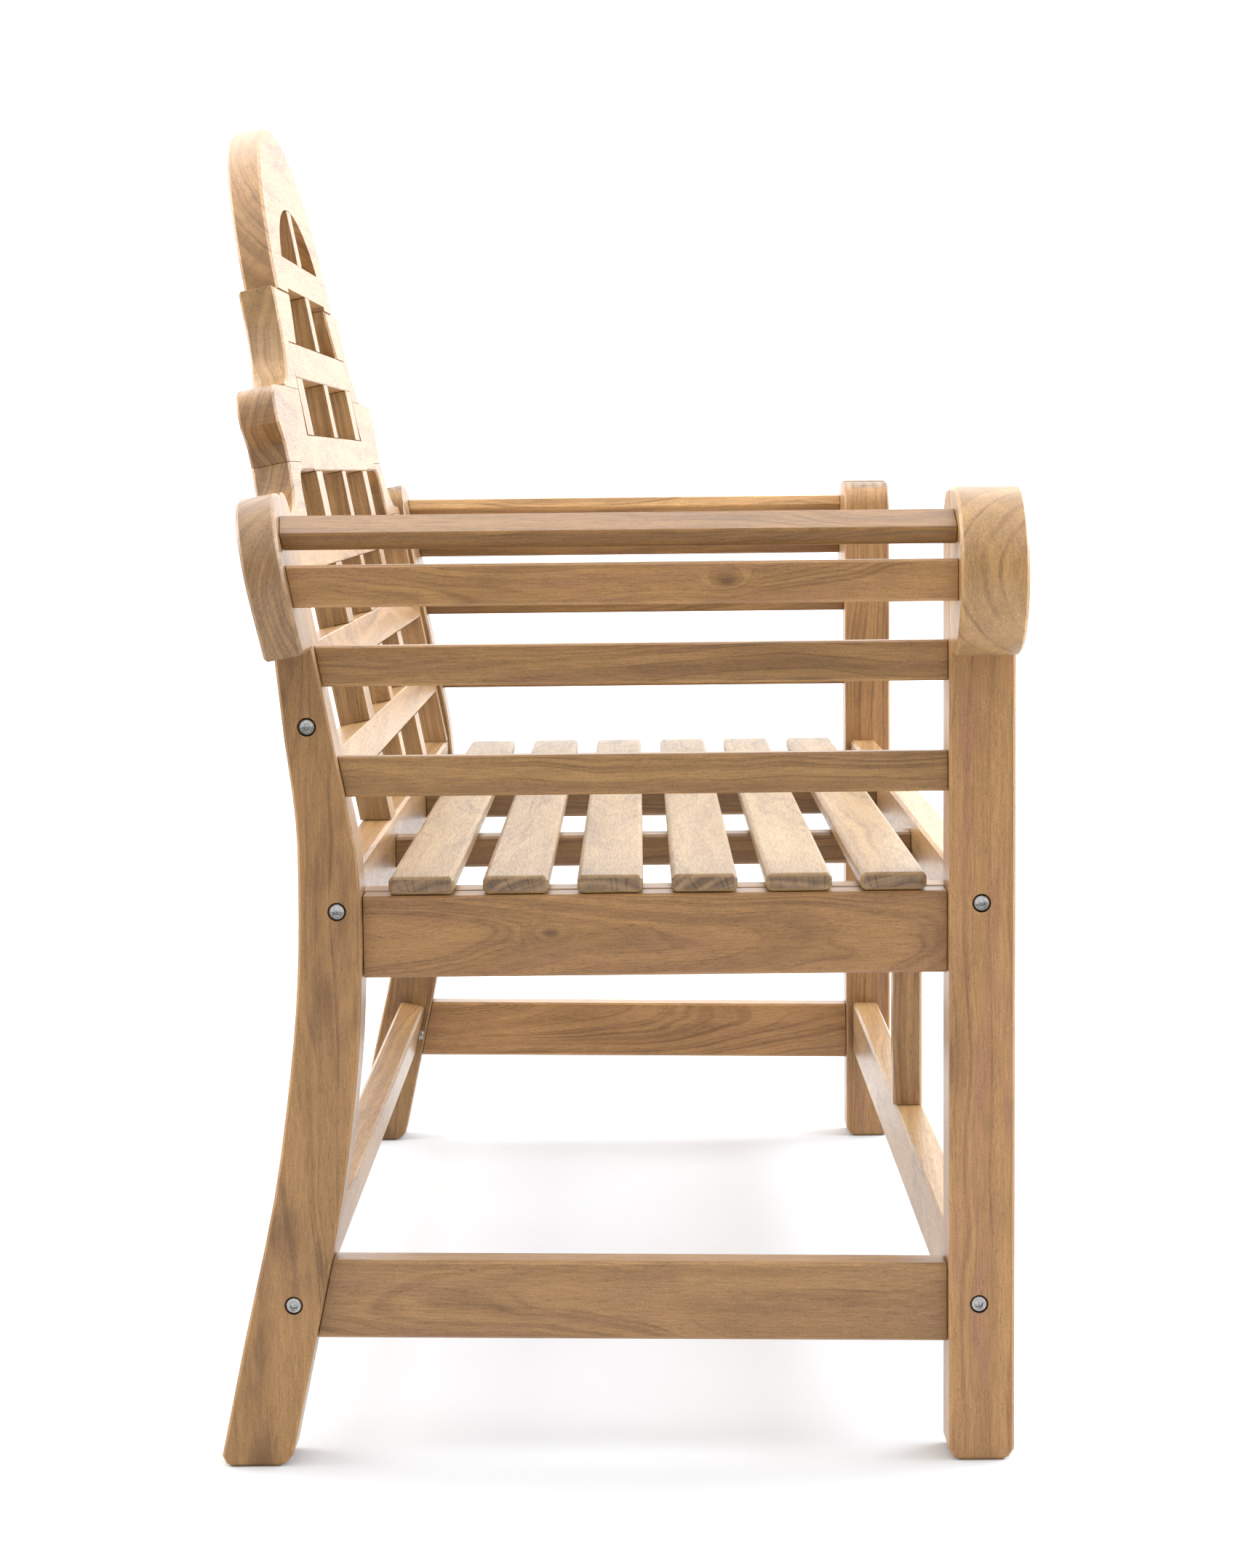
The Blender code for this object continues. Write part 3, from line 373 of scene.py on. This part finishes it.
def board_axes(points):
    """Centre of a piece, and its long, middle and short directions, from its own points."""
    centre = (points.min(0) + points.max(0)) / 2
    spread = np.linalg.svd(points - points.mean(0), full_matrices=False)[2]
    axes = []
    for row in spread:
        axis = Vector(row)
        lead = max(range(3), key=lambda i: abs(axis[i]))
        axes.append(axis if axis[lead] > 0 else -axis)
    return Vector(centre), axes


class Cut:
    """How a piece was cut from the log, and its tone."""

    def __init__(self, tone=(1.0, 1.0, 1.0), pith=0.10, side=0.0, spacing=0.010, rings=0.4125,
                 blotch=0.25, reddish=0.25, pores=0.45, lean=2.0, along=None, thick=None, edge=0.35,
                 shift=0.0, lines=0.44, end=1.0, knot=None, knot_size=0.005, coat=0.50):
        self.tone = tone
        self.pith = pith                # metres from the pith to the middle of the piece
        self.side = side                # degrees round the grain, 0 = pith off the wide face
        self.spacing = spacing          # width of the broad growth bands
        self.rings = rings              # strength of the broad bands
        self.blotch = blotch
        self.reddish = reddish
        self.pores = pores
        self.lean = lean                # degrees that the grain runs out of the piece
        self.along = along
        self.thick = thick
        self.edge = edge
        self.shift = shift              # metres along the trunk
        self.lines = lines              # strength of the thin dark growth lines
        self.end = end                  # how far end grain shows its own colour
        self.knot = knot                # fraction of the way along the piece, and metres across it
        self.knot_size = knot_size
        self.coat = coat


def wood(name, points, cut):
    """Material for one piece of wood, with its own place in the log."""
    centre, (along, _, thick) = board_axes(points)
    if cut.along:
        along = Vector(cut.along)
    if cut.thick:
        thick = Vector(cut.thick)
    across = thick.cross(along).normalized()
    thick = along.cross(across).normalized()
    flat = Matrix((along, across, thick))
    lean = radians(cut.lean)
    tilt = Matrix.Rotation(lean, 3, "Y") @ Matrix.Rotation(lean * LEAN_SIDEWAYS, 3, "Z")
    turn = tilt @ flat
    side = radians(cut.side)
    pith = Vector((cut.shift, cut.pith * sin(side), cut.pith * cos(side)))

    made = empty_material(name)
    t = Tree(made.node_tree)
    mapping = t.node("ShaderNodeMapping", vector_type="POINT")
    t.put(t.node("ShaderNodeTexCoord").outputs["Object"], mapping.inputs["Vector"])
    mapping.inputs["Rotation"].default_value = turn.to_euler("XYZ")
    mapping.inputs["Location"].default_value = pith - turn @ centre
    group = t.node("ShaderNodeGroup", node_tree=WOOD)
    t.put(mapping.outputs[0], group.inputs["Place"])
    for key, value in (("Ring spacing", cut.spacing), ("Ring strength", cut.rings),
                       ("Blotch", cut.blotch), ("Reddish", cut.reddish), ("Pores", cut.pores),
                       ("Tone", cut.tone), ("Lines", cut.lines), ("Knot size", cut.knot_size)):
        t.put(value, group.inputs[key])
    knot = Vector((0.0, FAR_AWAY, 0.0))
    if cut.knot:
        fraction, sideways = cut.knot
        length = np.ptp(points @ np.array(along))
        knot = pith + Vector(((fraction - 0.5) * length, sideways, 0.0))
    group.inputs["Knot"].default_value = knot
    normal = t.node("ShaderNodeNewGeometry").outputs["Normal"]
    on_end = t.math("ABSOLUTE", t.vector("DOT_PRODUCT", normal, tuple(along)))
    t.put(t.ramp(on_end, *END_GRAIN, 0.0, cut.end), group.inputs["End"])
    on_face = t.math("ABSOLUTE", t.vector("DOT_PRODUCT", normal, tuple(thick)))
    start, full, fade, gone = ARRIS
    corner = t.math("MULTIPLY", t.ramp(on_face, start, full), t.ramp(on_face, fade, gone, 1.0, 0.0))
    t.put(t.math("MULTIPLY", corner, cut.edge), group.inputs["Edge"])
    shader = t.shader(group.outputs["Color"], group.outputs["Roughness"])
    t.bump(shader, group.outputs["Height"], *GRAIN_BUMP)
    shader.inputs["IOR"].default_value = WOOD_IOR
    shader.inputs["Coat Weight"].default_value = cut.coat
    shader.inputs["Coat IOR"].default_value = COAT_IOR
    shader.inputs["Coat Roughness"].default_value = COAT_ROUGHNESS
    return made


# ---------------------------------------------------------------- steel
def steel(name, base, low, high):
    """Zinc-plated steel with fine turning marks and slight stains."""
    made = empty_material(name)
    t = Tree(made.node_tree)
    place = t.node("ShaderNodeTexCoord").outputs["Object"]
    stains = t.noise(t.scaled(place, STAINS), detail=3.0, roughness=0.6)["Fac"]
    marks = t.noise(t.scaled(place, TURNING_MARKS), detail=2.0)["Fac"]
    stained = tuple(STAINED * channel for channel in base)
    colour = t.mix(t.ramp(stains, 0.45, 0.75), base, stained)
    shader = t.shader(colour, t.ramp(marks, 0.3, 0.7, low, high))
    shader.inputs["Metallic"].default_value = 1.0
    t.bump(shader, marks, *STEEL_BUMP)
    return made


# ---------------------------------------------------------------- which cut each piece is
LIGHT = (1.22, 1.26, 1.32)
SEAT = (0.84, 0.94, 1.08)
RAKE = radians(11.0)                    # of the lattice back
UP_THE_BACK = (0.0, sin(RAKE), cos(RAKE))
OUT_OF_THE_BACK = (0.0, cos(RAKE), -sin(RAKE))
KINDS = (                               # how a node's name starts, and its cut; the first that fits
    ("front_leg", Cut((0.92, 0.87, 0.82), pith=0.14, side=70.0, spacing=0.012, rings=0.225, lean=1.0,
                      along=(0, 0, 1), thick=(1, 0, 0), blotch=0.30, reddish=0.70, edge=0.55)),
    ("rear_leg", Cut((0.86, 0.82, 0.74), pith=0.09, side=20.0, spacing=0.014, rings=0.3375, lean=3.0,
                     along=(0, 0, 1), thick=(1, 0, 0), blotch=0.80, edge=0.55)),
    ("front_scroll", Cut((1.09, 1.13, 1.14), pith=0.25, side=62.0, spacing=0.042, rings=0.27,
                         lean=0.5, lines=0.6, end=0.3, along=(0, 0, 1), thick=(0, 1, 0), edge=0.5)),
    ("rear_scroll", Cut((0.78, 0.76, 0.80), end=0.3, pith=0.25, side=60.0, spacing=0.010, rings=0.45,
                        lean=8.0, along=(0, 0, 1), thick=(0, 1, 0), reddish=0.45, edge=0.5)),
    ("side_seat_rail", Cut((0.80, 0.73, 0.64), pith=0.07, side=8.0, spacing=0.008, rings=0.45,
                           lean=3.0, thick=(1, 0, 0), reddish=0.40, pores=0.6, edge=0.5,
                           knot=(0.67, 0.004), knot_size=0.0030)),
    ("side_stretcher_right", Cut((1.10, 1.05, 0.98), pith=0.08, side=-15.0, spacing=0.009, rings=0.3375,
                                 lean=3.5, thick=(1, 0, 0), reddish=0.40, edge=0.5)),
    ("side_stretcher", Cut((0.86, 0.80, 0.74), pith=0.08, side=-15.0, spacing=0.009, rings=0.3375,
                           lean=3.5, thick=(1, 0, 0), reddish=0.40, edge=0.5)),
    # this piece's light tone is painted light, for its upper face lit from above
    ("arm_slat_roll_top_right", Cut((1.30, 1.30, 1.25), pith=0.07, side=35.0, spacing=0.008,
                                    rings=0.3375, edge=0.5)),
    # this piece's dark tone is painted shade, for its lower face turned away from the light
    ("arm_slat_roll_top", Cut((0.68, 0.56, 0.31), pith=0.07, side=35.0, spacing=0.008, rings=0.3375,
                              lean=2.0, edge=0.5, coat=0.30)),
    ("arm_slat_roll_side", Cut((0.86, 0.82, 0.74), pith=0.07, side=35.0, spacing=0.008, rings=0.4125,
                               reddish=0.60, edge=0.5, knot=(0.35, 0.002), knot_size=0.0030)),
    ("arm_slat", Cut((0.86, 0.84, 0.76), pith=0.07, side=35.0, spacing=0.008, rings=0.4125,
                     reddish=0.45, edge=0.5)),
    ("seat_slat", Cut(SEAT, pith=0.09, side=12.0, spacing=0.010, rings=0.285, lean=1.4,
                      along=(1, 0, 0), thick=(0, 0, 1), pores=0.3, blotch=0.20, edge=0.15, coat=0.25)),
    # the seat bearers' dark tone is painted shade, for where they sit under and between the slats
    ("seat_bearer", Cut((0.64, 0.60, 0.55), along=(0, 1, 0), thick=(0, 0, 1), spacing=0.011)),
    ("front_strut", Cut((0.95, 0.92, 0.90), along=(0, 0, 1), thick=(0, 1, 0), spacing=0.011)),
    ("front_seat_rail", Cut(LIGHT, along=(1, 0, 0), thick=(0, 1, 0), spacing=0.011)),
    ("rear_seat_rail", Cut((0.95, 0.93, 0.90), along=(1, 0, 0), thick=(0, 1, 0), spacing=0.011)),
    ("front_stretcher", Cut(LIGHT, along=(1, 0, 0), thick=(0, 1, 0), spacing=0.012)),
    ("rear_stretcher", Cut((0.98, 0.96, 0.92), along=(1, 0, 0), thick=(0, 1, 0), spacing=0.012)),
    ("crest_board", Cut((1.00, 0.97, 0.94), pith=0.12, side=10.0, along=(1, 0, 0),
                        thick=OUT_OF_THE_BACK, spacing=0.012, rings=0.3, end=0.3)),
    ("shoulder", Cut((1.05, 1.06, 1.04), pith=0.10, along=(1, 0, 0), thick=OUT_OF_THE_BACK, end=0.3)),
    ("ear", Cut((0.94, 0.89, 0.82), pith=0.10, along=(1, 0, 0), thick=OUT_OF_THE_BACK, end=0.3)),
    ("lower_ear", Cut((1.00, 0.98, 0.95), pith=0.10, along=(1, 0, 0), thick=OUT_OF_THE_BACK, end=0.3)),
    ("lattice_rail", Cut((1.05, 1.04, 1.02), along=(1, 0, 0), thick=OUT_OF_THE_BACK)),
    ("lattice", Cut((1.05, 1.04, 1.02), along=UP_THE_BACK, thick=OUT_OF_THE_BACK)),
    ("back_stile", Cut((1.02, 1.00, 0.98), along=UP_THE_BACK, thick=OUT_OF_THE_BACK)),
)
TONE_SPREAD = 0.07                      # how far one piece's tone strays from its kind's
WARMTH_SPREAD = 0.025
PITH_SPREAD = (0.8, 1.3)
SIDE_SPREAD = 18.0                      # degrees
LEAN_SPREAD = (0.6, 1.4)
TRUNK = 40.0                            # metres either way along the trunk


def varied(cut, draw):
    """The same kind of cut from another place in the log."""
    strayed = copy(cut)
    tone = 1.0 + draw.uniform(-TONE_SPREAD, TONE_SPREAD)
    warmth = draw.uniform(-WARMTH_SPREAD, WARMTH_SPREAD)
    strayed.tone = (cut.tone[0] * tone * (1 + warmth), cut.tone[1] * tone,
                    cut.tone[2] * tone * (1 - warmth))
    strayed.pith = cut.pith * draw.uniform(*PITH_SPREAD)
    strayed.side = cut.side + draw.uniform(-SIDE_SPREAD, SIDE_SPREAD)
    strayed.lean = cut.lean * draw.choice((-1.0, 1.0)) * draw.uniform(*LEAN_SPREAD)
    strayed.shift = draw.uniform(-TRUNK, TRUNK)
    return strayed


def points_of(thing):
    """A piece's own points, as rows."""
    return np.array([v.co for v in thing.data.vertices], float).reshape(-1, 3)


def soften(thing, width, segments=2):
    """Round the arrises of a sawn piece and shade it smoothly.

    Known fault: this makes the two ears cross lattice rail 3 by up to 0.5 mm.
    """
    weld = thing.modifiers.new("weld", "WELD")
    weld.merge_threshold = WELD
    planar = thing.modifiers.new("planar", "DECIMATE")
    planar.decimate_type = "DISSOLVE"
    planar.angle_limit = FLAT_WITHIN
    bevel = thing.modifiers.new("bevel", "BEVEL")
    bevel.width = width
    bevel.segments = segments
    bevel.limit_method = "ANGLE"
    bevel.angle_limit = ROUND_ABOVE
    bevel.use_clamp_overlap = True
    weighted = thing.modifiers.new("weighted", "WEIGHTED_NORMAL")
    weighted.keep_sharp = False


def dress_nodes():
    """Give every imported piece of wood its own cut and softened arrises."""
    for index, name in enumerate(sorted(NODES)):
        thing = NODES[name]
        if name.startswith("bolt_"):
            continue
        cut = next(kind for start, kind in KINDS if name.startswith(start))
        made = wood("wood_" + name, points_of(thing), varied(cut, Random(index)))
        thing.data.materials.clear()
        thing.data.materials.append(made)
        if name.startswith("seat_slat"):
            soften(thing, SLAT_ROUNDING, segments=3)
        elif name.startswith(FLUSH):
            soften(thing, FLUSH_ROUNDING)
        else:
            soften(thing, ROUNDING)


# ---------------------------------------------------------------- steel fastenings
def turned_piece(name, rings, place, material):
    """A closed piece lofted through rings of TURN points: (height, radius, True for a hexagon)."""
    mesh = bpy.data.meshes.new(name)
    shape = bmesh.new()
    loops = []
    for height, radius, hexagon in rings:
        loop = []
        for step in range(TURN):
            turn = 2 * pi * step / TURN
            reach = radius
            if hexagon:
                reach = radius / cos((turn % (pi / 3)) - pi / 6)
            loop.append(shape.verts.new((reach * cos(turn), reach * sin(turn), height)))
        loops.append(loop)
    for lower, upper in zip(loops, loops[1:]):
        for a, b, c, d in zip(lower, lower[1:] + lower[:1], upper[1:] + upper[:1], upper):
            shape.faces.new((a, b, c, d))
    shape.faces.new(loops[0][::-1])
    shape.faces.new(loops[-1])
    bmesh.ops.recalc_face_normals(shape, faces=shape.faces)
    shape.transform(place)
    shape.to_mesh(mesh)
    shape.free()
    thing = bpy.data.objects.new(name, mesh)
    bpy.context.scene.collection.objects.link(thing)
    mesh.materials.append(material)
    mesh.shade_smooth()
    mesh.set_sharp_from_angle(angle=SHARP)
    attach(thing, "root")
    return thing


def bolts(material):
    """Button heads with hexagonal sockets, each on a short shank where the plain bolt was.

    Known fault: the shanks are shorter than the plain bolts', so they end in the leg, 3 mm short of
    the rails and stretchers and 13 mm short of the stiles, and don't reach the barrel nuts.
    """
    edge = BOLT_CHAMFER
    top = BOLT_HEIGHT
    bottom = top - SOCKET_DEPTH
    rings = (
        (-SHANK_LENGTH, SHANK_RADIUS, False),
        (-SHANK_GAP, SHANK_RADIUS, False),
        (0.0, BOLT_RADIUS - edge, False),
        (edge, BOLT_RADIUS, False),
        (top - 2.2 * edge, BOLT_RADIUS, False),
        (top - edge, BOLT_RADIUS - 0.4 * edge, False),
        (top, BOLT_RADIUS - 1.6 * edge, False),
        (top, SOCKET_FLAT + SOCKET_MOUTH, False),
        (top - SOCKET_CONE, SOCKET_FLAT + SOCKET_MOUTH / 5, True),
        (bottom, SOCKET_FLAT, True),
        (bottom, SOCKET_FLAT * 0.8, False),
        (bottom - SOCKET_CONE, SOCKET_CONE, False),
    )
    for name in sorted(NODES):
        if not name.startswith("bolt_"):
            continue
        low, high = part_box(name)
        side = -1 if low.x < 0 else 1
        outer = high.x if side > 0 else low.x
        turn = Matrix.Rotation(side * pi / 2, 4, "Y") @ Matrix.Rotation(HEAD_TURN * len(name), 4, "Z")
        middle = (low + high) / 2
        place = Matrix.Translation((outer - side * top, middle.y, middle.z)) @ turn
        made = turned_piece("socket_" + name, rings, place, material)
        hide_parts(name)


def barrel_nuts(material):
    """Cross dowels for the bolts, let into the inner faces of the seat rails and front stretcher.

    Known faults: the two at the back stiles end 1.9 mm under the rear faces, so they don't show, and
    the two at the rear stretcher stand about 1.4 mm off its tilted face, touching nothing.
    """
    recess = NUT_PROUD - NUT_RECESS_DEPTH
    rings = (
        (-NUT_DEPTH, NUT_RADIUS, False),
        (NUT_PROUD - NUT_CHAMFER, NUT_RADIUS, False),
        (NUT_PROUD, NUT_RADIUS - NUT_CHAMFER, False),
        (NUT_PROUD, NUT_RECESS + NUT_TAPER, False),
        (recess, NUT_RECESS - NUT_TAPER, False),
        (recess - 2 * NUT_TAPER, 3 * NUT_TAPER, False),
    )
    faces = (                           # bolt, host node, which of its faces shows the nut
        ("front_seat", "front_seat_rail", 1),
        ("front_stretcher", "front_stretcher", 1),
        ("rear_seat", "rear_seat_rail", -1),
        ("rear_stretcher", "rear_stretcher", -1),
        ("back", "back_stile", 1),
    )
    for word, side in (("left", -1), ("right", 1)):
        for bolt_name, host, facing in faces:
            if host == "back_stile":
                host = "back_stile_" + word
            low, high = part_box("bolt_" + bolt_name + "_" + word)
            host_low, host_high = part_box(host)
            inner = low.x if side > 0 else high.x
            z = (low.z + high.z) / 2
            y = host_high.y if facing > 0 else host_low.y
            if bolt_name == "back":
                y = (low.y + high.y) / 2 + STILE_DEPTH / 2
            turn = Matrix.Rotation(-facing * pi / 2, 4, "X")
            place = Matrix.Translation((inner + side * NUT_INSET, y, z)) @ turn
            turned_piece(f"barrel_nut_{bolt_name}_{word}", rings, place, material)


# ---------------------------------------------------------------- end bearers
def rounded_bar(name, low, high, ease):
    """A bar with eased edges, from one corner to the other."""
    mesh = bpy.data.meshes.new(name)
    shape = bmesh.new()
    bmesh.ops.create_cube(shape, size=1.0)
    size = high - low
    shape.transform(Matrix.Translation((low + high) / 2) @ Matrix.Diagonal((*size, 1.0)))
    bmesh.ops.bevel(shape, geom=shape.edges[:], offset=ease, segments=3, profile=0.5, affect="EDGES")
    shape.to_mesh(mesh)
    shape.free()
    thing = bpy.data.objects.new(name, mesh)
    bpy.context.scene.collection.objects.link(thing)
    mesh.shade_smooth()
    weighted = thing.modifiers.new("weighted", "WEIGHTED_NORMAL")
    weighted.keep_sharp = False
    return thing


def end_bearers():
    """The two bearers under the ends of the seat slats, between the front and rear rails."""
    leg_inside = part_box("front_leg_right")[0].x
    back_of_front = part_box("front_seat_rail")[1].y
    front_of_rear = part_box("rear_seat_rail")[0].y
    under_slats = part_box("seat_slat_1")[0].z
    width, height = BEARER
    for word, side in (("left", -1), ("right", 1)):
        outer = side * (leg_inside - GAP)
        inner = outer - side * width
        low = Vector((min(outer, inner), back_of_front + GAP, under_slats - GAP - height))
        high = Vector((max(outer, inner), front_of_rear - GAP, under_slats - GAP))
        thing = rounded_bar("end_bearer_" + word, low, high, BEARER_EASE)
        cut = Cut(BEARER_TONE, along=(0, 1, 0), thick=(0, 0, 1), shift=BEARER_TRUNK + side)
        thing.data.materials.append(wood("wood_end_bearer_" + word, points_of(thing), cut))
        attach(thing, "root")


# ---------------------------------------------------------------- floor, light and camera
def floor():
    """A plain pale floor."""
    mesh = bpy.data.meshes.new("floor")
    corners = [(x * FLOOR_HALF, y * FLOOR_HALF, 0.0) for x, y in ((-1, -1), (1, -1), (1, 1), (-1, 1))]
    mesh.from_pydata(corners, [], [(0, 1, 2, 3)])
    thing = bpy.data.objects.new("floor", mesh)
    bpy.context.scene.collection.objects.link(thing)
    made = empty_material("floor_paint")
    t = Tree(made.node_tree)
    shader = t.shader(FLOOR, FLOOR_ROUGHNESS)
    shader.inputs["Specular IOR Level"].default_value = FLOOR_GLOSS
    mesh.materials.append(made)


def studio_world():
    """White all round for the camera; the light comes mostly from the far end and from above."""
    world = bpy.data.worlds.new("studio")
    bpy.context.scene.world = world
    world.use_nodes = True
    world.node_tree.nodes.clear()
    t = Tree(world.node_tree)
    parts = t.node("ShaderNodeSeparateXYZ")
    t.put(t.node("ShaderNodeTexCoord").outputs["Generated"], parts.inputs[0])
    from_far_end = t.ramp(parts.outputs["X"], *FROM_FAR_END)
    from_above = t.ramp(parts.outputs["Z"], *FROM_ABOVE)
    seen = t.node("ShaderNodeLightPath").outputs["Is Camera Ray"]
    backdrop = t.math("MULTIPLY", seen, BACKDROP)
    strength = t.math("MAXIMUM", t.math("ADD", from_far_end, from_above), backdrop)
    background = t.node("ShaderNodeBackground")
    background.inputs["Color"].default_value = (1.0, 1.0, 1.0, 1.0)
    t.put(strength, background.inputs["Strength"])
    t.put(background.outputs[0], t.node("ShaderNodeOutputWorld").inputs["Surface"])


def area_light(name, place, target, size, power, colour):
    """A soft rectangular lamp aimed at a point."""
    lamp = bpy.data.lights.new(name, "AREA")
    lamp.shape = "RECTANGLE"
    lamp.size, lamp.size_y = size
    lamp.energy = power
    lamp.color = colour
    thing = bpy.data.objects.new(name, lamp)
    thing.location = place
    thing.rotation_euler = (Vector(target) - Vector(place)).to_track_quat("-Z", "Y").to_euler()
    bpy.context.scene.collection.objects.link(thing)


def camera():
    """The camera, beside the left end and level with the arms."""
    lens = bpy.data.cameras.new("camera")
    lens.lens = CAMERA_LENS
    lens.sensor_width = SENSOR
    lens.clip_start, lens.clip_end = CLIP
    thing = bpy.data.objects.new("camera", lens)
    right = CAMERA_RIGHT.normalized()
    up = (right * CAMERA_DOWN.dot(right) - CAMERA_DOWN).normalized()
    axes = Matrix((right, up, right.cross(up))).transposed()
    thing.matrix_world = Matrix.Translation(CAMERA_PLACE) @ axes.to_4x4()
    bpy.context.scene.collection.objects.link(thing)
    bpy.context.scene.camera = thing


# ---------------------------------------------------------------- the scene
dress_nodes()
bolts(steel("bolt_steel", STEEL, *BOLT_ROUGHNESS))
barrel_nuts(steel("nut_steel", STEEL, *NUT_ROUGHNESS))
end_bearers()
floor()
studio_world()
for lamp in LAMPS:
    area_light(*lamp)
camera()
bpy.context.scene.view_settings.view_transform = "Standard"
